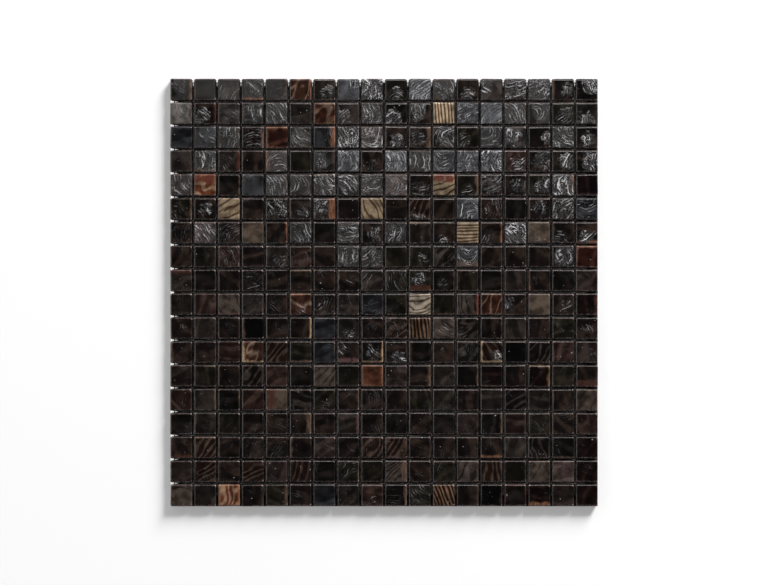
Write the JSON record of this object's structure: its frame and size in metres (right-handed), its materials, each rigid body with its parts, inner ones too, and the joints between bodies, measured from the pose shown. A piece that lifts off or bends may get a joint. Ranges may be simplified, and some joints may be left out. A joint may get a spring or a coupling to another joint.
{
  "type": "mosaic tile sheet",
  "caption": "Square mesh-mounted sheet of small dark glass mosaic tiles with rounded edges and straight open joints, with marbled and copper-brown accent tiles.",
  "frame": {"origin": "centre of the sheet on the underside of the backing net", "axes": "+Z out of the tile faces, +X along a row to the picture's right, +Y towards row 1 at the picture's top"},
  "size_m": [0.2954, 0.2954, 0.0044],
  "materials": {
    "tile_glass": "glossy, opaque",
    "net_fibre": "matte, dark resin-coated"
  },
  "bodies": {
    "root": {"glass_tiles_row_01": "tile_glass", "glass_tiles_row_02": "tile_glass", "glass_tiles_row_03": "tile_glass", "glass_tiles_row_04": "tile_glass", "glass_tiles_row_05": "tile_glass", "glass_tiles_row_06": "tile_glass", "glass_tiles_row_07": "tile_glass", "glass_tiles_row_08": "tile_glass", "glass_tiles_row_09": "tile_glass", "glass_tiles_row_10": "tile_glass", "glass_tiles_row_11": "tile_glass", "glass_tiles_row_12": "tile_glass", "glass_tiles_row_13": "tile_glass", "glass_tiles_row_14": "tile_glass", "glass_tiles_row_15": "tile_glass", "glass_tiles_row_16": "tile_glass", "glass_tiles_row_17": "tile_glass", "glass_tiles_row_18": "tile_glass", "backing_net_1_1": "net_fibre", "backing_net_1_2": "net_fibre", "backing_net_1_3": "net_fibre", "backing_net_2_1": "net_fibre", "backing_net_2_2": "net_fibre", "backing_net_2_3": "net_fibre", "backing_net_3_1": "net_fibre", "backing_net_3_2": "net_fibre", "backing_net_3_3": "net_fibre"}
  },
  "joints": []
}
